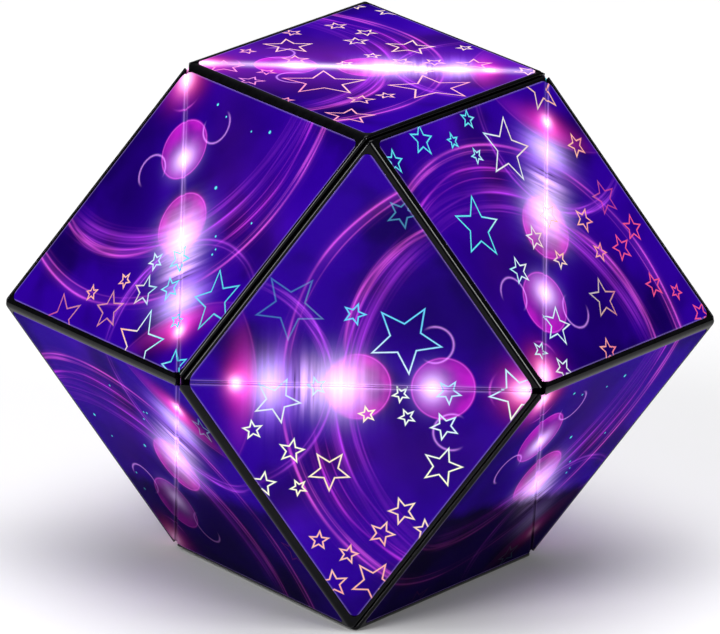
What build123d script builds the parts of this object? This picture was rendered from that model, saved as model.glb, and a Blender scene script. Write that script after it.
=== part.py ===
from build123d import *
from math import sqrt
import os

# Folding magnetic puzzle: a closed ring of twelve hinged modules, set up as a rhombic dodecahedron.
# The hinge axes are the twelve edges of a cube. Each module is a hollow tetrahedron that stands on half of
# one cube face, and its apex is above the middle of that face. Neighbours in the ring share one cube edge.

# Driving dimensions, in millimetres
HINGE_CUBE = 56.5       # edge of the cube whose edges are the hinge axes
FACE_RISE = 0.35        # outer faces stand this far outside the hinge axes
FACE_GAP = 0.15         # inner faces stand back this far from the plane shared by two modules
HINGE_RELIEF = 0.50     # a shell stops this far from a hinge axis
WALL = 2.0              # moulded wall of a shell
RIDGE_ROUND = 1.2       # rounding of the ridge between a module's two outer faces
SEAM_ROUND = 0.4        # rounding of the two edges where a module meets its pyramid twin

FILM = 0.30             # thickness of the printed films
FILM_BORDER = 0.90      # shell left showing between a rhombus film and the rhombus edge
FILM_SPLIT = 0.40       # a half film stops this far from its fold line
FILM_SHARP_ROUND = 1.1  # corner radius at the two sharp corners of a rhombus film
FILM_BLUNT_ROUND = 2.6  # corner radius at the two blunt corners
POCKET_FLOAT = 0.05     # clearance round a film or a cover in its pocket, and its recess
CREASE_RADIUS = 0.25    # bead along each fold line
CREASE_END = 2.0        # the bead stops this far inside the film's corner

COVER = 1.5             # thickness of an inner cover
COVER_BORDER = 2.2      # shell left showing round an inner cover
COVER_ROUND = 1.2       # corner radius of a cover and its film
LIP = 1.0               # thickness and height of the rib that locates a cover
TWIN_BORDER = 2.0       # shell left showing round the film on the twin face

MAGNET_RADIUS = 3.0
MAGNET = 2.0            # magnet thickness
SOCKET_WALL = 1.0
SOCKET_LIP = 0.4        # a socket stands this far above its magnet

SQRT2 = sqrt(2)
RHOMBUS_HALF_HEIGHT = HINGE_CUBE / SQRT2
RHOMBUS_INRADIUS = HINGE_CUBE / sqrt(6)
CUT = 4 * HINGE_CUBE    # size of a cutting block, larger than the object

# The ring zigzags round six corners of the hinge cube, between two opposite poles.
EQUATOR = [(1, 0, 0), (1, 1, 0), (0, 1, 0), (0, 1, 1), (0, 0, 1), (1, 0, 1)]
POLES = [(0, 0, 0), (1, 1, 1)]

# The object rests on one rhombus, so the hinge cube is turned 45 degrees about X.
CUBE_AXES = [Vector(1, 0, 0), Vector(0, 1, 1) / SQRT2, Vector(0, -1, 1) / SQRT2]
CENTRE = Vector(0, 0, RHOMBUS_HALF_HEIGHT + FACE_RISE)


# ---- the module in its own frame: right angle at the origin, base in XY, apex above the long side ----

def tetra(rise, floor, twin):
    """Tetrahedron of a module, with its outer faces moved out and its two inner faces moved in."""
    low = floor - SQRT2 * rise
    reach = HINGE_CUBE - SQRT2 * twin
    corner = Vector(low, low, floor)
    right = Vector(reach - low, low, floor)
    left = Vector(low, reach - low, floor)
    apex = Vector(reach / 2, reach / 2, reach / 2 + SQRT2 * rise)
    sides = [(corner, right, left), (corner, right, apex), (corner, left, apex), (right, left, apex)]
    return Solid(Shell([Face(Wire.make_polygon(side)) for side in sides]))


def swapped(shape):
    """The same feature on the module's other outer face."""
    return mirror(shape, about=Plane(origin=(0, 0, 0), z_dir=(1, -1, 0)))


def outer_plane(height):
    """Plane parallel to the first outer face, centred on its fold line, with Y up the face."""
    plane = Plane(origin=(HINGE_CUBE / 2, 0, 0), x_dir=(1, 0, 0), z_dir=(0, -1, 1))
    return plane.offset(height)


def twin_plane(height):
    """Plane parallel to the face that meets the pyramid twin, with Y up the face."""
    middle = HINGE_CUBE / 2
    plane = Plane(origin=(middle, middle, 0), x_dir=(-1, 1, 0), z_dir=(1, 1, 0))
    return plane.offset(height)


def hinge_cut():
    """Everything nearer than the relief to the first hinge axis."""
    plane = Plane(origin=(0, 0, 0), x_dir=(1, 0, 0), z_dir=(0, 1, 1)).offset(HINGE_RELIEF)
    return plane.location * Box(CUT, CUT, CUT, align=(Align.CENTER, Align.CENTER, Align.MAX))


def rising_edges(body):
    """The straight edges that rise from the base to the apex, those of the ridge first."""
    straight = body.edges().filter_by(GeomType.LINE)
    rising = [edge for edge in straight if edge.bounding_box().size.Z > HINGE_CUBE / 3]
    return sorted(rising, key=lambda edge: edge.center().X + edge.center().Y)


def rounded_body():
    """Outer form of a shell: the hinge edges are cut back, then the ridge and the two seams rounded."""
    cut = hinge_cut()
    body = (tetra(FACE_RISE, FACE_GAP, FACE_GAP) - cut - swapped(cut)).solid()
    body = body.fillet(RIDGE_ROUND, rising_edges(body)[:1])
    return body.fillet(SEAM_ROUND, rising_edges(body)[-2:])


def rhombus(border):
    """Outline of a rhombus face less a border, with its fold line on X."""
    scale = (RHOMBUS_INRADIUS - border) / RHOMBUS_INRADIUS
    half_width = scale * HINGE_CUBE / 2
    half_height = scale * RHOMBUS_HALF_HEIGHT
    outline = Polygon((half_width, 0), (0, half_height), (-half_width, 0), (0, -half_height), align=None)
    outline = fillet(outline.vertices().sort_by(Axis.Y)[::3], FILM_SHARP_ROUND)
    return fillet(outline.vertices().sort_by(Axis.X)[::len(outline.vertices()) - 1], FILM_BLUNT_ROUND)


def half_rhombus(border, start):
    """The upper half of that outline, from a little above the fold line."""
    upper = Pos(0, start) * Rectangle(CUT, CUT, align=(Align.CENTER, Align.MIN))
    return rhombus(border) & upper


def slab(plane, outline, thickness):
    """An outline on a plane, extruded along the plane's normal."""
    return extrude(plane * outline, thickness)


def inset_triangle(corners, border, radius):
    """A triangle less a border, with rounded corners."""
    outline = offset(Polygon(*corners, align=None), amount=-border, kind=Kind.INTERSECTION)
    return fillet(outline.vertices(), radius)


def base_triangle(border):
    return inset_triangle([(0, 0), (HINGE_CUBE, 0), (0, HINGE_CUBE)], border, COVER_ROUND)


def twin_triangle(border):
    half = RHOMBUS_HALF_HEIGHT
    return inset_triangle([(-half, 0), (half, 0), (0, HINGE_CUBE / 2)], border, COVER_ROUND)


def magnet_planes():
    """Planes on the inside of the three hidden walls, centred on the magnets, with Z pointing out."""
    inside = FACE_RISE - WALL
    outer = outer_plane(inside)
    outer = outer.shift_origin(outer.origin + outer.y_dir * RHOMBUS_HALF_HEIGHT / 3)
    twin = twin_plane(-FACE_GAP - WALL)
    twin = twin.shift_origin(twin.origin + twin.y_dir * HINGE_CUBE / 6)
    return outer, twin


def socket(plane):
    """Ring that holds a magnet against the wall."""
    depth = MAGNET + SOCKET_LIP
    inner = MAGNET_RADIUS + POCKET_FLOAT
    ring = Circle(inner + SOCKET_WALL) - Circle(inner)
    return slab(plane.offset(-depth), ring, depth + SOCKET_LIP)


def magnet(plane):
    return slab(plane.offset(-MAGNET), Circle(MAGNET_RADIUS), MAGNET)


def shell():
    """Moulded shell: three walls, open towards the hinge cube, with pockets for films and cover."""
    cover_top = FACE_GAP + POCKET_FLOAT + FILM + COVER
    cavity = tetra(FACE_RISE - WALL, cover_top, FACE_GAP + WALL)
    film_pocket = slab(outer_plane(0), half_rhombus(FILM_BORDER - POCKET_FLOAT, 0), WALL)
    twin_floor = -FACE_GAP - POCKET_FLOAT - FILM
    twin_pocket = slab(twin_plane(twin_floor), twin_triangle(TWIN_BORDER - POCKET_FLOAT), WALL)
    cover_pocket = slab(Plane.XY, base_triangle(COVER_BORDER - POCKET_FLOAT), cover_top)
    outer, twin = magnet_planes()
    body = rounded_body() - cavity - cover_pocket
    body = body + socket(outer) + swapped(socket(outer)) + socket(twin)
    return body - film_pocket - swapped(film_pocket) - twin_pocket


def inner_cover():
    """Plate that closes the shell, with a rib that locates it in the shell's mouth."""
    low = FACE_GAP + POCKET_FLOAT + FILM
    top = low + COVER
    plate = slab(Plane.XY.offset(low), base_triangle(COVER_BORDER), COVER)
    slope = SQRT2 * (WALL - FACE_RISE) + top + LIP
    mouth = slope + POCKET_FLOAT
    rib = base_triangle(mouth) - base_triangle(mouth + LIP)
    return plate + slab(Plane.XY.offset(top), rib, LIP)


def films():
    """The two half rhombus films, the film on the inner cover, and the film on the twin face."""
    half = slab(outer_plane(0), half_rhombus(FILM_BORDER, FILM_SPLIT), FILM)
    base = slab(Plane.XY.offset(FACE_GAP + POCKET_FLOAT), base_triangle(COVER_BORDER), FILM)
    twin = slab(twin_plane(-FACE_GAP - POCKET_FLOAT - FILM), twin_triangle(TWIN_BORDER), FILM)
    return [half, swapped(half), base, twin]


def magnets():
    outer, twin = magnet_planes()
    return [magnet(outer), swapped(magnet(outer)), magnet(twin)]


# ---- the ring ----

def ring_point(corner):
    """Place of a corner of the hinge cube, given by its three 0 or 1 coordinates."""
    steps = zip(corner, CUBE_AXES)
    return sum(((step - 0.5) * HINGE_CUBE * axis for step, axis in steps), CENTRE)


def pole_beside(corner):
    """The pole that shares a cube edge with this corner."""
    return POLES[0] if sum(corner) == 1 else POLES[1]


def module_corners():
    """Right-angled corner and two sharp corners of each module's base, in ring order."""
    modules = []
    for index, corner in enumerate(EQUATOR):
        before = EQUATOR[index - 1]
        after = EQUATOR[(index + 1) % len(EQUATOR)]
        pole = pole_beside(corner)
        modules += [(corner, before, pole), (corner, pole, after)]
    return modules


def module_location(corner, first, second):
    """Placement that puts a module's base on its corners, and its apex outside the hinge cube."""
    origin = ring_point(corner)
    x_dir = ring_point(first) - origin
    outward = x_dir.cross(ring_point(second) - origin)
    if outward.dot(origin - CENTRE) < 0:
        x_dir, outward = ring_point(second) - origin, -outward
    return Plane(origin=origin, x_dir=x_dir, z_dir=outward).location


def crease(start, end):
    """Bead along the fold line of a rhombus film."""
    line = ring_point(end) - ring_point(start)
    inset = FILM_BORDER * HINGE_CUBE / 2 / RHOMBUS_INRADIUS + CREASE_END
    plane = Plane(origin=ring_point(start) + line.normalized() * inset, z_dir=line)
    return slab(plane, Circle(CREASE_RADIUS), line.length - 2 * inset)


def write(name, solids, location):
    placed = [location * solid for shape in solids for solid in shape.solids()]
    export_step(placed[0] if len(placed) == 1 else Compound(children=placed), f"parts/{name}.step")


def main():
    os.makedirs("parts", exist_ok=True)
    pieces = {"shell": [shell()], "inner_cover": [inner_cover()], "films": films(), "magnets": magnets()}
    for number, corners in enumerate(module_corners(), start=1):
        location = module_location(*corners)
        for piece, solids in pieces.items():
            write(f"module_{number:02}_{piece}", solids, location)
        write(f"fold_line_{number:02}", [crease(corners[0], corners[2])], Location())


main()
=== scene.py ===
"""Looks of the folding magnetic puzzle: printed films, gloss black shells, studio and camera."""
import random
from math import asin, atan2, copysign, cos, hypot, pi, radians, sin, sqrt, tan

import bmesh
import bpy
from mathutils import Matrix, Vector

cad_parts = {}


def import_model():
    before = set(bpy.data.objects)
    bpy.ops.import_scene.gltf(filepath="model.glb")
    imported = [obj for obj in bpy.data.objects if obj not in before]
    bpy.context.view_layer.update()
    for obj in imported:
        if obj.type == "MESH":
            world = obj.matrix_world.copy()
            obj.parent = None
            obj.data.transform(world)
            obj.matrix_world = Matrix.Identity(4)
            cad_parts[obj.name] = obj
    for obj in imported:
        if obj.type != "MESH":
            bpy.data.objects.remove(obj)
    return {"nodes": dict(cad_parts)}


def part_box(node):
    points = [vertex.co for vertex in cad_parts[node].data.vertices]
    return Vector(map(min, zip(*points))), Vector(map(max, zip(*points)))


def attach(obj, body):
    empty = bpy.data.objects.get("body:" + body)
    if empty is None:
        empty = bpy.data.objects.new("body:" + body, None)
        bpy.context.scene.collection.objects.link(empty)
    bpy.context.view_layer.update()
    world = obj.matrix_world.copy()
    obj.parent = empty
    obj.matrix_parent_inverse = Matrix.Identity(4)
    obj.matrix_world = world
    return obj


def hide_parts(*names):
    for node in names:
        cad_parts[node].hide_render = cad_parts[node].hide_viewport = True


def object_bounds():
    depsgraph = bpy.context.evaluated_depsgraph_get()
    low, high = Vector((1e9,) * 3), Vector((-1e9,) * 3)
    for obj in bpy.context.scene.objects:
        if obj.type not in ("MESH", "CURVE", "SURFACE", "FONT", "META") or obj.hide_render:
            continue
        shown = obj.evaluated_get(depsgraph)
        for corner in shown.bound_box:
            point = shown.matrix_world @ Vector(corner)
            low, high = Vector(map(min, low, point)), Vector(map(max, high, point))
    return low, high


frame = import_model()
cad_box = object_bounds()

# Dimensions of the part, in metres
MM = 0.001
HINGE_CUBE = 56.5 * MM     # edge of the cube whose edges are the hinge axes
FILM = 0.30 * MM           # thickness of every printed film
FILM_BORDER = 0.90 * MM    # black frame between a rhombus film and the rhombus edge
SHARP_ROUND = 1.1 * MM
BLUNT_ROUND = 2.6 * MM
TRIANGLE_ROUND = 1.2 * MM
INNER_RECESS = 0.20 * MM   # visible side of an inner film, inside the plane two modules share
BASE_BORDER = 2.2 * MM
TWIN_BORDER = 2.0 * MM
FILM_EDGE = 0.06 * MM      # rounding of a film's printed edge
BASE_LINE = 0.02 * MM      # a film's underside floats this far above its pocket
CREASE_TOP = 0.36 * MM     # distance of a half film from its fold line, at its printed face
CREASE_FOOT = 0.20 * MM    # and at its underside
BEAD = 0.17 * MM           # radius of the film bead that joins the two halves
BEAD_INSET = 0.6 * MM      # the bead ends this far inside the film's corner

RHOMBUS_HALF_HEIGHT = HINGE_CUBE / sqrt(2)
RHOMBUS_INRADIUS = HINGE_CUBE / sqrt(6)
MODULE_COUNT = 12

# The hinges zigzag round six corners of the hinge cube, between two opposite poles.
EQUATOR = [(1, 0, 0), (1, 1, 0), (0, 1, 0), (0, 1, 1), (0, 0, 1), (1, 0, 1)]
CUBE_AXES = [Vector((1, 0, 0)), Vector((0, 1, 1)).normalized(), Vector((0, -1, 1)).normalized()]


# ---- places ----

def middle(box):
    """Middle of a (low, high) box."""
    low, high = box
    return (Vector(low) + Vector(high)) / 2


CENTRE = middle(cad_box)


def ring_point(corner):
    """A corner of the hinge cube, given by its three 0 or 1 coordinates."""
    point = CENTRE.copy()
    for step, axis in zip(corner, CUBE_AXES):
        point += (step - 0.5) * HINGE_CUBE * axis
    return point


def pole_beside(corner):
    """The pole next to a corner of the equator."""
    return (0, 0, 0) if sum(corner) == 1 else (1, 1, 1)


def placement(origin, x_dir, z_dir):
    """Matrix that carries a flat drawing to its plane on the part."""
    x_dir, z_dir = x_dir.normalized(), z_dir.normalized()
    matrix = Matrix((x_dir, z_dir.cross(x_dir), z_dir)).transposed().to_4x4()
    matrix.translation = origin
    return matrix


def hinge_ends():
    """Cube corners at the two ends of each fold line, odd one first, where the print starts."""
    ends = []
    for index, corner in enumerate(EQUATOR):
        for other in (pole_beside(corner), EQUATOR[(index + 1) % len(EQUATOR)]):
            ends.append(sorted((corner, other), key=lambda c: sum(c) % 2 == 0))
    return ends


def module_corners():
    """Right-angled corner and two sharp corners of each module's base, in ring order."""
    corners = []
    for index, corner in enumerate(EQUATOR):
        pole = pole_beside(corner)
        following = EQUATOR[(index + 1) % len(EQUATOR)]
        corners += [(corner, EQUATOR[index - 1], pole), (corner, pole, following)]
    return corners


def module_placement(corner, first, second):
    """Matrix of a module: right angle at the origin, base in XY, apex above."""
    origin = ring_point(corner)
    x_dir, other = ring_point(first) - origin, ring_point(second) - origin
    outward = x_dir.cross(other)
    if outward.dot(origin - CENTRE) < 0:
        x_dir, outward = other, -outward
    return placement(origin, x_dir, outward)


# ---- outlines, in the plane of a drawing ----

def rounded(corners, radii, steps=10):
    """A polygon with its corners rounded, counter-clockwise."""
    outline = []
    for index, (corner, radius) in enumerate(zip(corners, radii)):
        before = (corners[index - 1] - corner).normalized()
        after = (corners[(index + 1) % len(corners)] - corner).normalized()
        half = before.angle(after) / 2
        centre = corner + (before + after).normalized() * radius / sin(half)
        start = corner + before * radius / tan(half) - centre
        sweep = pi - 2 * half
        for step in range(steps + 1):
            turn = sweep * step / steps
            outline.append(centre + Matrix.Rotation(turn, 2) @ start)
    return outline


def half_rhombus(border, level, steps=10):
    """Outline of the upper half of a rhombus face less a border, from a little above its fold line."""
    scale = (RHOMBUS_INRADIUS - border) / RHOMBUS_INRADIUS
    wide, high = scale * HINGE_CUBE / 2, scale * RHOMBUS_HALF_HEIGHT
    shrink = border - FILM_BORDER
    blunt, sharp = BLUNT_ROUND - shrink, SHARP_ROUND - shrink
    edge_turn = atan2(wide, high)
    side = wide - blunt / cos(edge_turn)
    top = high - sharp / sin(edge_turn)
    first = asin(level / blunt)
    arcs = [
        (Vector((side, 0)), blunt, first, edge_turn),
        (Vector((0, top)), sharp, edge_turn, pi - edge_turn),
        (Vector((-side, 0)), blunt, pi - edge_turn, pi - first),
    ]
    outline = []
    for centre, radius, begin, finish in arcs:
        for step in range(steps + 1):
            turn = begin + (finish - begin) * step / steps
            outline.append(centre + radius * Vector((cos(turn), sin(turn))))
    return outline


def inset_triangle(corners, border):
    """A triangle less a border, corners rounded."""
    points = [Vector(c) for c in corners]
    sides = [(points[(i + 1) % 3] - points[i - 1]).length for i in range(3)]
    around = sum(sides)
    incentre = sum((side * point for side, point in zip(sides, points)), Vector((0, 0))) / around
    area = abs((points[1] - points[0]).cross(points[2] - points[0])) / 2
    inradius = 2 * area / around
    inner = [incentre + (point - incentre) * (inradius - border) / inradius for point in points]
    return rounded(inner, [TRIANGLE_ROUND] * 3)


# ---- film meshes ----

def layered(mesh, layers, matrix, print_point, material):
    """Adds a closed plate to a bmesh, from outlines of equal length at rising heights.

    The drawing gives the UVs, by way of print_point.
    """
    uv = mesh.loops.layers.uv.verify()
    rings, flat = [], {}
    for height, outline in layers:
        ring = [mesh.verts.new(matrix @ Vector((*point, height))) for point in outline]
        flat.update(zip(ring, outline))
        rings.append(ring)
    faces = [mesh.faces.new(rings[0][::-1]), mesh.faces.new(rings[-1])]
    for lower, upper in zip(rings, rings[1:]):
        for i in range(len(lower)):
            face = mesh.faces.new((lower[i - 1], lower[i], upper[i], upper[i - 1]))
            face.smooth = True
            faces.append(face)
    for face in faces:
        face.material_index = material
        for loop in face.loops:
            loop[uv].uv = print_point(flat[loop.vert])


def half_film_layers():
    """Outlines of a half rhombus film from its foot to its printed face, chamfered along the fold."""
    quarter = FILM_EDGE / 4
    return [
        (BASE_LINE, half_rhombus(FILM_BORDER, CREASE_FOOT)),
        (FILM / 3, half_rhombus(FILM_BORDER, CREASE_FOOT)),
        (FILM - FILM_EDGE, half_rhombus(FILM_BORDER, CREASE_TOP - FILM_EDGE)),
        (FILM - quarter, half_rhombus(FILM_BORDER + quarter, CREASE_TOP - quarter)),
        (FILM, half_rhombus(FILM_BORDER + FILM_EDGE, CREASE_TOP)),
    ]


def triangle_layers(corners, border):
    """Outlines of a triangular inner film from its foot to its printed face."""
    return [
        (-INNER_RECESS - FILM + BASE_LINE, inset_triangle(corners, border)),
        (-INNER_RECESS - FILM_EDGE, inset_triangle(corners, border)),
        (-INNER_RECESS, inset_triangle(corners, border + FILM_EDGE)),
    ]


def piece(name, mesh, materials, body, slot, *replaced):
    """Turns a bmesh into a piece that rides on a body and stands for CAD nodes."""
    data = bpy.data.meshes.new(name)
    mesh.to_mesh(data)
    mesh.free()
    for material in materials:
        data.materials.append(material)
    obj = bpy.data.objects.new(name, data)
    bpy.context.scene.collection.objects.link(obj)
    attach(obj, body)
    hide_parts(*replaced)


# ---- node trees written as sums ----

class Term:
    """A value that varies over a surface: a node output that can be written in sums."""

    def __init__(self, tree, socket):
        self.tree = tree
        self.socket = socket

    def op(self, operation, *values):
        return node_math(self.tree, operation, self, *values)

    def __add__(self, other):
        return self.op("ADD", other)

    def __sub__(self, other):
        return self.op("SUBTRACT", other)

    def __mul__(self, other):
        return self.op("MULTIPLY", other)

    def __truediv__(self, other):
        return self.op("DIVIDE", other)

    def __rsub__(self, other):
        return node_math(self.tree, "SUBTRACT", other, self)

    def __pow__(self, other):
        return self.op("POWER", other)

    __radd__ = __add__
    __rmul__ = __mul__


def feed(tree, socket, value):
    """Links a term to a socket, or sets the socket to a plain value."""
    if isinstance(value, Term):
        tree.links.new(value.socket, socket)
    else:
        socket.default_value = value


def node_math(tree, operation, *values):
    """A Math node over terms and plain numbers."""
    node = tree.nodes.new("ShaderNodeMath")
    node.operation = operation
    for socket, value in zip(node.inputs, values):
        feed(tree, socket, value)
    return Term(tree, node.outputs[0])


def ramp(value, start, end):
    """0 before start, 1 after end, smooth between."""
    node = value.tree.nodes.new("ShaderNodeMapRange")
    node.interpolation_type = "SMOOTHSTEP"
    feed(value.tree, node.inputs["Value"], value)
    node.inputs["From Min"].default_value = min(start, end)
    node.inputs["From Max"].default_value = max(start, end)
    node.inputs["To Min"].default_value = float(start > end)
    node.inputs["To Max"].default_value = float(end > start)
    return Term(value.tree, node.outputs["Result"])


ONE_OVER_E = 0.3679


def bell(value, centre, width):
    """Bell curve round a centre, 1 at its top."""
    offset = value.op("MULTIPLY_ADD", 1 / width, -centre / width)
    return node_math(value.tree, "POWER", ONE_OVER_E, offset * offset)


def noise(x, y, scale, detail=2.0, seed=0.0, roughness=0.5):
    """Smooth noise about 0.5, in two coordinates that may be stretched first."""
    tree = x.tree
    place = tree.nodes.new("ShaderNodeCombineXYZ")
    for socket, value in zip(place.inputs, (x, y, seed)):
        feed(tree, socket, value)
    node = tree.nodes.new("ShaderNodeTexNoise")
    tree.links.new(place.outputs[0], node.inputs["Vector"])
    node.inputs["Scale"].default_value = scale
    node.inputs["Detail"].default_value = detail
    node.inputs["Roughness"].default_value = roughness
    return Term(tree, node.outputs["Fac"])


def paint(under, mask, colour, blend="ADD"):
    """A colour laid over another where the mask says."""
    tree = mask.tree
    node = tree.nodes.new("ShaderNodeMix")
    node.data_type = "RGBA"
    node.blend_type = blend
    feed(tree, node.inputs["Factor"], mask)
    for socket, value in ((node.inputs["A"], under), (node.inputs["B"], colour)):
        feed(tree, socket_of(node, socket, "RGBA"), value if isinstance(value, Term) else (*value, 1.0))
    return Term(tree, socket_of(node, node.outputs["Result"], "RGBA", True))


def socket_of(node, socket, kind, output=False):
    """The socket of one kind, on a Mix node that has several of one name."""
    sockets = node.outputs if output else node.inputs
    return next(s for s in sockets if s.name == socket.name and s.type == kind)


def colour_steps(value, steps):
    """A colour read off a scale of (place, colour) steps."""
    node = value.tree.nodes.new("ShaderNodeValToRGB")
    elements = node.color_ramp.elements
    while len(elements) < len(steps):
        elements.new(0.5)
    for element, (place, colour) in zip(elements, steps):
        element.position = place
        element.color = (*colour, 1.0)
    feed(value.tree, node.inputs[0], value)
    return Term(value.tree, node.outputs[0])


# ---- the print: x runs from 0 to 1 along the fold line, y is the height above it in the same unit ----

INDIGO = (0.024, 0.000, 0.285)
DEEP = (0.006, 0.000, 0.075)
VIOLET = (0.130, 0.012, 0.600)
MAGENTA = (0.750, 0.030, 0.500)
ORB = (0.680, 0.015, 0.450)
PINK = (0.900, 0.110, 0.760)
LAVENDER = (0.420, 0.120, 1.000)

STAR_INPUTS = ("X", "Y", "Centre X", "Centre Y", "Radius", "Turn")
STAR_VALLEY = 0.44            # radius of the inner corners of a star, over that of its tips
STAR_LINE = (0.0030, 0.0010)  # half width of a star's outline, at the foot and the top of its soft edge


def star_group():
    """Node group: 1 on the outline of a five-pointed star, 0 elsewhere."""
    tree = bpy.data.node_groups.new("Star_outline", "ShaderNodeTree")
    for name in STAR_INPUTS:
        tree.interface.new_socket(name, in_out="INPUT", socket_type="NodeSocketFloat")
    tree.interface.new_socket("Line", in_out="OUTPUT", socket_type="NodeSocketFloat")
    given = tree.nodes.new("NodeGroupInput")
    x, y, centre_x, centre_y, radius, turn = (Term(tree, given.outputs[name]) for name in STAR_INPUTS)
    across, along = STAR_VALLEY * sin(pi / 5), 1 - STAR_VALLEY * cos(pi / 5)
    size = hypot(across, along)
    x, y = x - centre_x, y - centre_y
    angle = (y.op("ARCTAN2", x) + turn).op("PINGPONG", pi / 5)
    reach = (x * x + y * y) ** 0.5
    edge = reach * (angle - atan2(along, across)).op("COSINE") - radius * (across / size)
    line = ramp(edge.op("ABSOLUTE"), *STAR_LINE)
    tree.links.new(line.socket, tree.nodes.new("NodeGroupOutput").inputs["Line"])
    return tree


def star(x, y, centre, radius, turn):
    """Mask of one star outline, by way of the shared node group."""
    tree = x.tree
    node = tree.nodes.new("ShaderNodeGroup")
    node.node_tree = STAR
    for name, value in zip(STAR_INPUTS, (x, y, *centre, radius, turn)):
        feed(tree, node.inputs[name], value)
    return Term(tree, node.outputs["Line"])


def reach_from(x, y, centre_x, centre_y=0.0):
    """Distance from a point of the print."""
    dx, dy = x - centre_x, y - centre_y
    return (dx * dx + dy * dy) ** 0.5


def glow(x, y, centre_x, width, height):
    """Soft spot on the fold line."""
    return bell(x, centre_x, width) * bell(y, 0.0, height)


def arc(x, y, centre, radius, width, strands, seed):
    """A bundle of fine strands along a circle whose centre is on or near the fold line."""
    turn = (y - centre[1]).op("ARCTAN2", x - centre[0])
    offset = reach_from(x, y, *centre) - radius
    wander = noise(turn, turn, 0.9, 1.0, seed + 3)
    threads = noise(offset * (0.6 * strands) + wander * 3.0, turn * 0.6, 1.0, 2.0, seed)
    swell = 0.35 + ramp(noise(turn, turn, 1.6, 1.0, seed + 6), 0.36, 0.62) * 0.75
    drift = offset - (wander - 0.5) * width * 2.0
    body = bell(drift, 0.0, width)
    core = bell(drift, width * 0.35, 0.0032)
    thin = bell(offset, width * -0.7, 0.0020)
    return ((ramp(threads, 0.47, 0.75) * 0.62 + 0.07) * body + core * 0.5 + thin * 0.25) * swell


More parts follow.
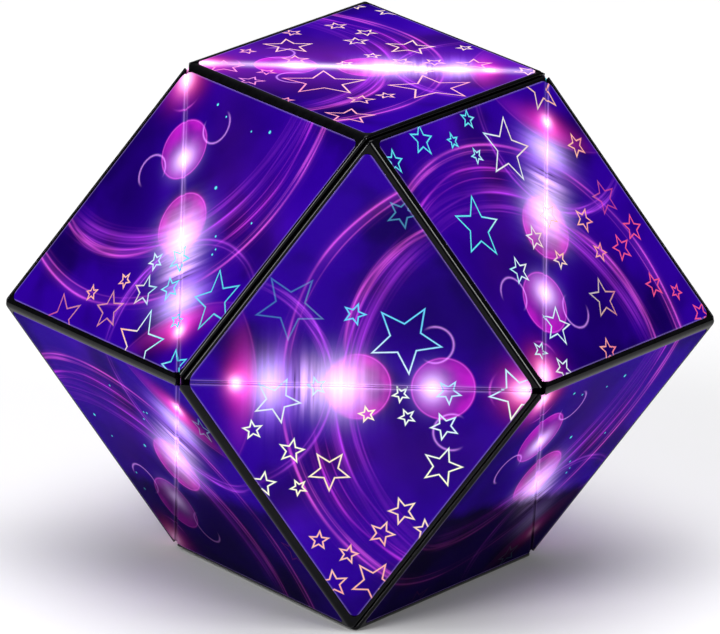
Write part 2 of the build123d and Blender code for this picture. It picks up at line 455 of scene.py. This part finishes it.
def galaxy_group():
    """Node group: colour of the glow, the arcs and the streak, at a point of the print."""
    tree = bpy.data.node_groups.new("Galaxy_print", "ShaderNodeTree")
    for name in ("X", "Y"):
        tree.interface.new_socket(name, in_out="INPUT", socket_type="NodeSocketFloat")
    tree.interface.new_socket("Colour", in_out="OUTPUT", socket_type="NodeSocketColor")
    given = tree.nodes.new("NodeGroupInput")
    x, y = (Term(tree, s) for s in given.outputs[:2])
    height = y.op("ABSOLUTE")

    # Ground: indigo with darker hollows and a few violet clouds
    ground = paint(DEEP, ramp(noise(x, y, 3.2, 3.0, 1.5), 0.30, 0.56), INDIGO, "MIX")
    hollow = bell(x, 0.68, 0.22) * bell(height, 0.20, 0.13)
    ground = paint(ground, hollow * 0.75, DEEP, "MIX")
    ground = paint(ground, ramp(noise(x, y, 2.3, 2.0, 7.1), 0.52, 0.75) * 0.18, VIOLET)

    # Sweeping arcs on both sides of the fold line
    sweep = arc(x, y, (0.937, 0.0), 0.651, 0.017, 140, 2.0) * ramp(height, 0.02, 0.16)
    ground = paint(ground, sweep * 1.1, PINK)
    second = arc(x, y, (1.033, 0.0), 0.578, 0.040, 100, 5.0) * ramp(height, 0.62, 0.20)
    ground = paint(ground, second * 0.8, (0.55, 0.05, 0.85))
    third = arc(x, y, (0.86, 0.10), 0.40, 0.014, 160, 8.0) * ramp(y, 0.02, 0.20) * ramp(x, 0.95, 0.62)
    ground = paint(ground, third * 0.8, PINK)
    crossing = arc(x, y, (0.112, 0.0), 0.306, 0.016, 150, 11.0) * ramp(height, 0.36, 0.22)
    ground = paint(ground, crossing * 0.75, (0.60, 0.08, 0.90))
    low = arc(x, y, (0.90, -0.05), 0.52, 0.022, 120, 14.0) * ramp(y, -0.10, -0.22)
    ground = paint(ground, low * 0.8, (0.70, 0.05, 0.80))

    # First glow, magenta, ended by an arc
    rim = reach_from(x, y, -0.31)
    inside_rim = ramp(rim, 0.536, 0.508)
    ground = paint(ground, glow(x, y, 0.178, 0.036, 0.14) * inside_rim * 0.40, MAGENTA)
    ground = paint(ground, glow(x, y, 0.170, 0.040, 0.060) * inside_rim * 0.60, (0.90, 0.02, 0.26))
    ground = paint(ground, bell(rim, 0.522, 0.0026) * bell(y, 0.0, 0.19) * 0.16, PINK)
    ground = paint(ground, glow(x, y, 0.160, 0.030, 0.032) * 0.7, (1.0, 0.20, 0.65))
    ground = paint(ground, glow(x, y, 0.156, 0.016, 0.017) * 1.2, (1.0, 0.80, 0.90))

    # Haze with upright strands, cut by thin dark gaps
    bristle = noise(x * 60.0, y * 3.0, 1.0, 2.0, 21.0)
    haze = glow(x, y, 0.265, 0.060, 0.090) * (0.50 + ramp(bristle, 0.3, 0.7) * 0.70)
    ground = paint(ground, haze, LAVENDER)
    ground = paint(ground, glow(x, y, 0.248, 0.042, 0.062) * 0.80, (0.78, 0.72, 1.0))
    lens = glow(x, y, 0.352, 0.030, 0.060) * (0.35 + ramp(bristle, 0.35, 0.65) * 0.9)
    ground = paint(ground, lens, (0.8, 0.5, 1.0))
    gaps = bell(x, 0.318, 0.0035) + bell(x, 0.371, 0.0030) + bell(x, 0.331, 0.0022) * 0.6
    ground = paint(ground, gaps.op("MINIMUM", 1.0) * bell(y, 0.0, 0.055), (0.02, 0.0, 0.12), "MIX")

    # Main glow and its orb
    orb = reach_from(x, y, 0.490)
    swirl = 0.55 + ramp(noise(x, y, 14.0, 2.0, 41.0), 0.3, 0.7) * 0.6
    far_side = ramp(x, 0.44, 0.54)
    body = 0.20 + bell(x, 0.47, 0.10) * 0.32
    ground = paint(ground, ramp(orb, 0.100, 0.084) * body * swirl, ORB)
    ground = paint(ground, bell(orb, 0.082, 0.014) * far_side * 0.30 * swirl, ORB)
    ground = paint(ground, bell(orb, 0.092, 0.0022) * far_side * 0.45, PINK)
    flare = glow(x, y, 0.448, 0.078, 0.072) * (0.50 + ramp(bristle, 0.3, 0.7) * 0.40)
    ground = paint(ground, flare, (0.74, 0.44, 1.0))
    ground = paint(ground, glow(x, y, 0.440, 0.062, 0.068) * 0.72, (0.86, 0.74, 1.0))

    # Second orb with a bright rim and two curling tendrils
    orb = reach_from(x, y, 0.727)
    body = 0.16 + ramp(orb, 0.02, 0.09) * 0.22 + ramp(x, 0.68, 0.80) * 0.22
    ground = paint(ground, ramp(orb, 0.095, 0.080) * body * swirl, ORB)
    ground = paint(ground, bell(orb, 0.087, 0.0022) * 0.40, PINK)
    ground = paint(ground, glow(x, y, 0.697, 0.042, 0.048) * 0.62, (0.80, 0.50, 1.0))
    ground = paint(ground, glow(x, y, 0.697, 0.028, 0.030) * 0.60, (0.95, 0.82, 1.0))
    for side, centre_x in ((1, 0.70), (-1, 0.755)):
        curl = bell(reach_from(x, y, centre_x, side * 0.125), 0.052, 0.0028)
        begun = ramp((x - centre_x) * side, -0.035, 0.0)
        ground = paint(ground, curl * begun * 0.6, (0.75, 0.30, 0.95))

    # Last glow at the end corner
    ground = paint(ground, glow(x, y, 0.950, 0.066, 0.070) * 0.62, (0.80, 0.02, 0.36))
    ground = paint(ground, glow(x, y, 0.950, 0.046, 0.042) * 0.65, (1.0, 0.16, 0.34))
    ground = paint(ground, glow(x, y, 0.952, 0.030, 0.024), (0.85, 0.80, 1.0))
    rim = bell(reach_from(x, y, 0.93), 0.075, 0.003)
    ground = paint(ground, rim * bell(y, 0.0, 0.028) * ramp(x, 0.90, 0.86) * 0.5, PINK)

    # Streak along the fold line
    grain = 0.5 + ramp(noise(x * 8.0, y * 260.0, 1.0, 2.0, 31.0), 0.3, 0.7) * 0.9
    envelope = 0.06 + bell(x, 0.40, 0.17) * 0.5 + bell(x, 0.71, 0.07) * 0.45 + bell(x, 0.96, 0.06) * 0.4
    ground = paint(ground, bell(y, 0.0, 0.009) * envelope * grain * 0.7, (0.85, 0.55, 1.0))
    ground = paint(ground, bell(height, 0.006, 0.0016) * 0.20, (0.7, 0.4, 1.0))
    tree.links.new(ground.socket, tree.nodes.new("NodeGroupOutput").inputs["Colour"])
    return tree


# How the colour of the star outlines drifts over a face: its value at the middle of the fold line, its change
# along the fold line and away from it, and the colours it passes through
COOL = [
    (0.30, (0.14, 0.60, 0.95)), (0.42, (0.60, 0.80, 1.00)),
    (0.56, (1.00, 0.97, 0.70)), (0.72, (1.00, 0.42, 0.38)),
]
WARM = [
    (0.25, (1.00, 0.85, 0.70)), (0.45, (1.00, 0.55, 0.55)),
    (0.60, (0.95, 0.25, 0.50)), (0.75, (0.70, 0.30, 0.95)),
]
MIXED = [
    (0.30, (0.12, 0.75, 0.90)), (0.45, (0.70, 0.85, 0.95)),
    (0.56, (1.00, 0.55, 0.40)), (0.72, (0.85, 0.08, 0.25)),
]
HUES = {
    "below": (0.42, 0.05, -0.55, COOL),
    "near_start": (0.32, 0.10, 0.95, MIXED),
    "spread": (0.50, -0.25, 0.80, MIXED),
    "rich": (0.48, 0.15, 0.20, WARM),
}


SMALL_STARS = (0.022, 0.026, 0.030, 0.034, 0.038)  # radii
STAR_GAP = 0.012       # least room between two stars
STAR_TRIES = 4000
HALF_FOLD = 0.5        # half the fold line, which is the rhombus's short diagonal
HALF_SPAN = sqrt(0.5)  # half its long diagonal


def from_edge(across, away):
    """Distance of a print point from the nearest rhombus edge, in fold lengths.

    Across is its distance from the rhombus's long diagonal, and away its distance from the fold line.
    """
    return (HALF_FOLD * HALF_SPAN - across * HALF_SPAN - away * HALF_FOLD) / hypot(HALF_FOLD, HALF_SPAN)


def scatter(rng, heroes, count, weight):
    """Listed large stars, then small ones at random where the weight allows and there is room."""
    stars = list(heroes)
    tries = 0
    while len(stars) < len(heroes) + count and tries < STAR_TRIES:
        tries += 1
        x, y = rng.uniform(0.05, 0.95), rng.uniform(-0.66, 0.66)
        radius = rng.choice(SMALL_STARS)
        on_film = from_edge(abs(x - 0.5), abs(y)) > radius / 2
        clear = all(hypot(x - s[0], y - s[1]) > radius + s[2] + STAR_GAP for s in stars)
        if on_film and clear and rng.random() < weight(x, y):
            stars.append((x, y, radius, rng.uniform(0, 2 * pi / 5), 1.0))
    return stars


def print_material(name, stars, dots, hues, seed, painted_shade=0.0, streak=0.0):
    """Glossy printed film with the galaxy print and a layout of star outlines.

    A painted shade value above or below 0 darkens one corner towards black, by the end or the start of the
    fold line.
    A streak above 0 widens and brightens the light along the fold line.
    """
    material = bpy.data.materials.new(name)
    material.use_nodes = True
    tree = material.node_tree
    tree.nodes.clear()
    place = tree.nodes.new("ShaderNodeUVMap")
    place.uv_map = "print"
    split = tree.nodes.new("ShaderNodeSeparateXYZ")
    tree.links.new(place.outputs[0], split.inputs[0])
    x, y = Term(tree, split.outputs[0]), Term(tree, split.outputs[1])
    group = tree.nodes.new("ShaderNodeGroup")
    group.node_tree = GALAXY
    feed(tree, group.inputs["X"], x)
    feed(tree, group.inputs["Y"], y)
    colour = Term(tree, group.outputs["Colour"])
    mask = None
    for star_x, star_y, radius, turn, strength in stars:
        line = star(x, y, (star_x, star_y), radius, turn) * strength
        mask = line if mask is None else mask.op("MAXIMUM", line)
    for dot_x, dot_y, radius in dots:
        mask = mask.op("MAXIMUM", ramp(reach_from(x, y, dot_x, dot_y), radius, radius * 0.4))
    level, along, away, scale = hues
    hue = (x - 0.5) * along + y * away + (noise(x, y, 3.0, 1.0, seed) - 0.5) * 0.5 + level
    colour = paint(colour, mask, colour_steps(hue, scale), "MIX")
    if streak:
        envelope = 0.25 + bell(x, 0.50, 0.30) * 0.75
        colour = paint(colour, bell(y, 0.0, 0.20) * streak * 0.5, (0.22, 0.02, 0.32))
        colour = paint(colour, bell(y, 0.0, 0.024) * envelope * streak, (1.0, 0.85, 1.0))
    # Painted shade: one corner of the face fades towards near black, with a ragged edge
    if painted_shade:
        ragged = (noise(x, y, 11.0, 3.0, seed + 0.5) - 0.5) * 0.10
        depth = (x - 0.5) * copysign(1, painted_shade) + y + ragged
        colour = paint(colour, ramp(depth, 0.08, 0.17) * abs(painted_shade), (0.001, 0.0, 0.004), "MIX")

    # Painted highlight: a pale line along the film's edge, where the edge catches light
    inside = from_edge((x - 0.5).op("ABSOLUTE"), y.op("ABSOLUTE"))
    line = bell(inside, (FILM_BORDER + 0.10 * MM) / HINGE_CUBE, 0.0018)
    colour = paint(colour, line * 0.30, (0.45, 0.30, 0.85), "MIX")
    return glossy(material, colour)


def grain_over(tree, scale, detail):
    """Noise fixed to the object, about 0.5."""
    where = tree.nodes.new("ShaderNodeTexCoord")
    node = tree.nodes.new("ShaderNodeTexNoise")
    node.inputs["Scale"].default_value = scale
    node.inputs["Detail"].default_value = detail
    tree.links.new(where.outputs["Object"], node.inputs["Vector"])
    return Term(tree, node.outputs["Fac"])


def finish_shader(tree, shader, grain, strength, distance):
    """Gives a shader its relief and sends it to the surface."""
    bump = tree.nodes.new("ShaderNodeBump")
    bump.inputs["Strength"].default_value = strength
    bump.inputs["Distance"].default_value = distance
    feed(tree, bump.inputs["Height"], grain)
    tree.links.new(bump.outputs["Normal"], shader.inputs["Normal"])
    out = tree.nodes.new("ShaderNodeOutputMaterial")
    tree.links.new(shader.outputs[0], out.inputs["Surface"])


def glossy(material, colour):
    """Printed film under a thin clear coat."""
    tree = material.node_tree
    shader = tree.nodes.new("ShaderNodeBsdfPrincipled")
    feed(tree, shader.inputs["Base Color"], colour)
    shader.inputs["Roughness"].default_value = 0.35
    shader.inputs["Specular IOR Level"].default_value = 0.0
    shader.inputs["Coat Weight"].default_value = 0.05
    shader.inputs["Coat Roughness"].default_value = 0.04
    finish_shader(tree, shader, grain_over(tree, 240.0, 2.0), 0.05, 0.0003)
    return material


def plastic(name, dark, light, roughness, grain, bump_strength, metallic=0.0, specular=0.5):
    """Moulded or plated surface with fine grain in its colour, its gloss and its relief."""
    material = bpy.data.materials.new(name)
    material.use_nodes = True
    tree = material.node_tree
    tree.nodes.clear()
    value = grain_over(tree, grain, 4.0)
    smooth, rough = roughness
    shader = tree.nodes.new("ShaderNodeBsdfPrincipled")
    feed(tree, shader.inputs["Base Color"], paint(dark, ramp(value, 0.3, 0.7), light, "MIX"))
    feed(tree, shader.inputs["Roughness"], ramp(value, 0.25, 0.75) * (rough - smooth) + smooth)
    shader.inputs["Metallic"].default_value = metallic
    shader.inputs["Specular IOR Level"].default_value = specular
    finish_shader(tree, shader, value, bump_strength, 0.0002)
    return material


# ---- materials ----

def layouts():
    """Star layouts, each a list of (x, y, radius, turn, strength)."""
    rng = random.Random(12)
    below = scatter(rng, [
        (0.62, 0.14, 0.100, 0.2, 1.0), (0.93, -0.01, 0.075, 0.5, 1.0), (0.27, -0.045, 0.065, 0.1, 0.9),
        (0.42, -0.245, 0.057, 0.3, 1.0), (0.73, -0.225, 0.055, 0.0, 1.0), (0.55, -0.565, 0.060, 0.25, 1.0),
        (0.30, 0.225, 0.095, 0.35, 0.22), (0.60, 0.50, 0.042, 0.1, 0.35),
    ], 17, lambda x, y: 1.0 if y < 0 else 0.16)
    near_start = scatter(rng, [
        (0.17, 0.16, 0.100, 0.5, 1.0), (0.05, 0.02, 0.05, 0.2, 0.9), (0.20, -0.14, 0.090, 0.15, 0.8),
        (0.32, 0.28, 0.055, 0.3, 0.6), (0.36, 0.47, 0.075, 0.1, 0.6), (0.33, 0.14, 0.045, 0.4, 0.8),
    ], 13, lambda x, y: 1.0 if x < 0.42 and y > 0 else 0.0)
    spread = scatter(rng, [
        (0.31, -0.16, 0.095, 0.45, 1.0), (0.60, -0.27, 0.090, 0.3, 1.0), (0.06, -0.03, 0.07, 0.1, 0.9),
        (0.62, 0.24, 0.058, 0.2, 0.6), (0.78, 0.05, 0.055, 0.5, 1.0), (0.30, 0.24, 0.050, 0.0, 0.5),
        (0.42, -0.50, 0.045, 0.3, 1.0),
    ], 19, lambda x, y: 0.9)
    rich = scatter(rng, [
        (0.62, 0.17, 0.120, 0.3, 1.7), (0.32, 0.19, 0.120, 0.1, 1.7), (0.55, 0.50, 0.07, 0.4, 1.7),
        (0.72, -0.20, 0.07, 0.2, 1.5), (0.38, -0.22, 0.07, 0.45, 1.5), (0.90, 0.03, 0.06, 0.3, 1.5),
        (0.20, -0.06, 0.05, 0.3, 1.5),
    ], 20, lambda x, y: 0.8)
    bare = [(0.14, 0.10, 0.040, 0.2, 0.25), (0.36, 0.47, 0.050, 0.1, 0.20)]
    return {"below": below, "near_start": near_start, "spread": spread, "rich": rich, "bare": bare}


def sparks(rng, count):
    """Small solid dots on the side of the fold line that has few stars."""
    return [
        (rng.uniform(0.25, 0.9), -rng.uniform(0.10, 0.42), rng.uniform(0.003, 0.007))
        for _ in range(count)
    ]


GALAXY = galaxy_group()
STAR = star_group()
LAYOUTS = layouts()
SPARKS = sparks(random.Random(4), 12)
# Name of each print: its star layout, its dots, the drift of its star colours, and what else sets it apart
PRINT_PLANS = {
    "below": ("below", [], "below", {}),
    "near_start": ("near_start", SPARKS, "near_start", {}),
    "spread": ("spread", [], "spread", {}),
    "rich": ("rich", [], "rich", {"streak": 0.9}),
    # These two prints carry painted shade that darkens one corner towards black
    "painted_shade_end": ("bare", SPARKS, "near_start", {"painted_shade": 0.70}),
    "painted_shade_start": ("bare", SPARKS, "near_start", {"painted_shade": -0.90}),
}
PRINTS = {
    name: print_material(f"Print_{name}", LAYOUTS[layout], dots, HUES[drift], seed, **rest)
    for seed, (name, (layout, dots, drift, rest)) in enumerate(PRINT_PLANS.items())
}
PRINT_OF_HINGE = {
    1: "rich", 2: "spread", 3: "near_start", 4: "below", 5: "spread", 6: "near_start",
    7: "rich", 8: "near_start", 9: "painted_shade_end", 10: "below", 11: "spread", 12: "painted_shade_start",
}
FINISHES = {
    "shell": plastic("Gloss_black_shell", (0.0006, 0.0006, 0.001), (0.002, 0.002, 0.003),
                     (0.03, 0.08), 900.0, 0.05, specular=0.12),
    "inner_cover": plastic("Satin_black_cover", (0.010, 0.010, 0.012), (0.020, 0.020, 0.023),
                           (0.40, 0.60), 1400.0, 0.3),
    "magnets": plastic("Nickel_plating", (0.60, 0.60, 0.61), (0.76, 0.76, 0.77),
                       (0.12, 0.30), 1200.0, 0.1, metallic=1.0),
}


# ---- pieces ----

BASE_PRINT = 0.9 / HINGE_CUBE  # scale of the print on the inner films
TWIN_PRINT = 0.6 / HINGE_CUBE
BEAD_SIDES = 16


def half_film(mesh, ends, body, material):
    """The half of a rhombus film that rides on a module."""
    start, end = (ring_point(corner) for corner in ends)
    fold = (start + end) / 2
    normal = (fold - CENTRE).normalized()
    matrix = placement(fold, end - start, normal)
    own_side = (middle(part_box(body + "_shell")) - fold).dot(matrix.col[1].to_3d()) > 0
    flip = 1 if own_side else -1

    def print_point(point):
        return 0.5 + flip * point.x / HINGE_CUBE, flip * point.y / HINGE_CUBE

    turned = matrix if own_side else matrix @ Matrix.Rotation(pi, 4, "Z")
    layered(mesh, half_film_layers(), turned, print_point, material)


def module_films(number, corners):
    """The four films of a module: two outer halves, one on its cover, one on its twin face."""
    mesh = bmesh.new()
    body = f"module_{number:02}"
    mesh.loops.layers.uv.new("print")
    ends = hinge_ends()
    hinges = ((number - 2) % MODULE_COUNT + 1, number)  # the one before the module and its own
    for index, hinge in enumerate(hinges):
        half_film(mesh, ends[hinge - 1], body, index)
    matrix = module_placement(*corners)
    base = matrix @ Matrix.Rotation(pi, 4, "X")
    base_corners = [(0, 0), (0, -HINGE_CUBE), (HINGE_CUBE, 0)]
    layered(mesh, triangle_layers(base_corners, BASE_BORDER), base,
            lambda p: (0.1 + p.x * BASE_PRINT, -0.4 - p.y * BASE_PRINT), 0)
    x_dir = matrix.to_3x3() @ Vector((-1, 1, 0))
    z_dir = matrix.to_3x3() @ Vector((1, 1, 0))
    half = HINGE_CUBE / 2
    twin = placement(matrix @ Vector((half, half, 0)), x_dir, z_dir)
    twin_corners = [(-RHOMBUS_HALF_HEIGHT, 0), (RHOMBUS_HALF_HEIGHT, 0), (0, half)]
    layered(mesh, triangle_layers(twin_corners, TWIN_BORDER), twin,
            lambda p: (0.5 + p.x * TWIN_PRINT, 0.1 + p.y * TWIN_PRINT), 1)
    materials = [PRINTS[PRINT_OF_HINGE[hinge]] for hinge in hinges]
    piece(f"{body}_printed_films", mesh, materials, body, "printed_film", f"{body}_films")


def crease_bead(number, ends):
    """The bead along a fold line: a capped tube that carries the print."""
    mesh = bmesh.new()
    uv = mesh.loops.layers.uv.new("print")
    start, end = (ring_point(corner) for corner in ends)
    fold = (start + end) / 2
    matrix = placement(fold, end - start, (fold - CENTRE).normalized())
    inset = FILM_BORDER * HINGE_CUBE / 2 / RHOMBUS_INRADIUS + BEAD_INSET
    half = HINGE_CUBE / 2 - inset
    turns = [2 * pi * i / BEAD_SIDES for i in range(BEAD_SIDES)]
    first, last = (
        [mesh.verts.new(matrix @ Vector((x, BEAD * cos(turn), BEAD * sin(turn)))) for turn in turns]
        for x in (-half, half)
    )
    mesh.faces.new(first[::-1])
    mesh.faces.new(last)
    for i in range(BEAD_SIDES):
        mesh.faces.new((first[i - 1], first[i], last[i], last[i - 1])).smooth = True
    for face in mesh.faces:
        for loop in face.loops:
            along = 0.5 + (loop.vert.co - fold).dot((end - start).normalized()) / HINGE_CUBE
            loop[uv].uv = (along, 0.0)
    bmesh.ops.recalc_face_normals(mesh, faces=mesh.faces)
    node = f"fold_line_{number:02}"
    piece(f"{node}_bead", mesh, [PRINTS[PRINT_OF_HINGE[number]]], f"module_{number:02}", "fold_film", node)


for number, corners in enumerate(module_corners(), start=1):
    module_films(number, corners)
for number, ends in enumerate(hinge_ends(), start=1):
    crease_bead(number, ends)

for name, node in frame["nodes"].items():
    for ending, material in FINISHES.items():
        if name.endswith(ending):
            node.data.materials.clear()
            node.data.materials.append(material)


# ---- studio ----

def floor():
    """Pale floor, wide enough to fill the view."""
    mesh = bmesh.new()
    bmesh.ops.create_grid(mesh, x_segments=8, y_segments=8, size=6.0)
    data = bpy.data.meshes.new("Studio_floor")
    mesh.to_mesh(data)
    mesh.free()
    material = bpy.data.materials.new("Pale_floor")
    material.use_nodes = True
    tree = material.node_tree
    shader = tree.nodes["Principled BSDF"]
    value = grain_over(tree, 3.0, 2.0)
    feed(tree, shader.inputs["Base Color"], paint((0.86, 0.86, 0.87), value, (0.90, 0.90, 0.90), "MIX"))
    shader.inputs["Roughness"].default_value = 0.75
    shader.inputs["Specular IOR Level"].default_value = 0.1
    data.materials.append(material)
    obj = bpy.data.objects.new("Studio_floor", data)
    bpy.context.scene.collection.objects.link(obj)


def softbox(name, place, size, power, gloss_only=False):
    """Rectangular light aimed at the middle of the object; a gloss-only one shows in reflections alone."""
    light = bpy.data.lights.new(name, "AREA")
    light.shape = "RECTANGLE"
    light.size, light.size_y = size
    light.energy = power
    obj = bpy.data.objects.new(name, light)
    obj.location = place
    obj.rotation_euler = (CENTRE - Vector(place)).to_track_quat("-Z", "Y").to_euler()
    obj.visible_diffuse = not gloss_only
    bpy.context.scene.collection.objects.link(obj)


def camera():
    """Long lens at the photograph's angle: a little above the front, rolled by a degree and a half."""
    azimuth, elevation, roll = radians(0.61), radians(17.0), radians(1.62)
    distance, target = 1.7153, CENTRE + Vector((0.0, 0.0, -0.001))
    forward = Vector((sin(azimuth) * cos(elevation), cos(azimuth) * cos(elevation), -sin(elevation)))
    right = Vector((cos(azimuth), -sin(azimuth), 0.0))
    up = right.cross(forward)
    rolled_right = cos(roll) * right + sin(roll) * up
    rolled_up = cos(roll) * up - sin(roll) * right
    matrix = Matrix((rolled_right, rolled_up, -forward)).transposed().to_4x4()
    matrix.translation = target - forward * distance
    data = bpy.data.cameras.new("Camera")
    data.sensor_width = 36.0
    data.lens = 539.5
    data.clip_start = 0.01
    obj = bpy.data.objects.new("Camera", data)
    obj.matrix_world = matrix
    bpy.context.scene.collection.objects.link(obj)
    bpy.context.scene.camera = obj


def world():
    """Weak even light from all round."""
    scene = bpy.context.scene
    scene.view_settings.view_transform = "Standard"
    backdrop = bpy.data.worlds.new("Studio")
    backdrop.use_nodes = True
    shade = backdrop.node_tree.nodes["Background"]
    shade.inputs["Color"].default_value = (1.0, 1.0, 1.0, 1.0)
    shade.inputs["Strength"].default_value = 0.10
    scene.world = backdrop


floor()
softbox("Key", (-0.9, -1.2, 1.1), (0.8, 0.8), 16.0)
softbox("Fill", (1.2, -1.1, 0.8), (0.7, 1.0), 9.0)
softbox("Left_strip", (-1.0, -0.84, 0.35), (0.45, 0.55), 24.0, gloss_only=True)
softbox("Right_strip", (1.0, -0.84, 0.35), (0.16, 0.55), 9.0, gloss_only=True)
softbox("Top", (0.0, 0.25, 1.7), (1.6, 1.6), 30.0)
world()
camera()
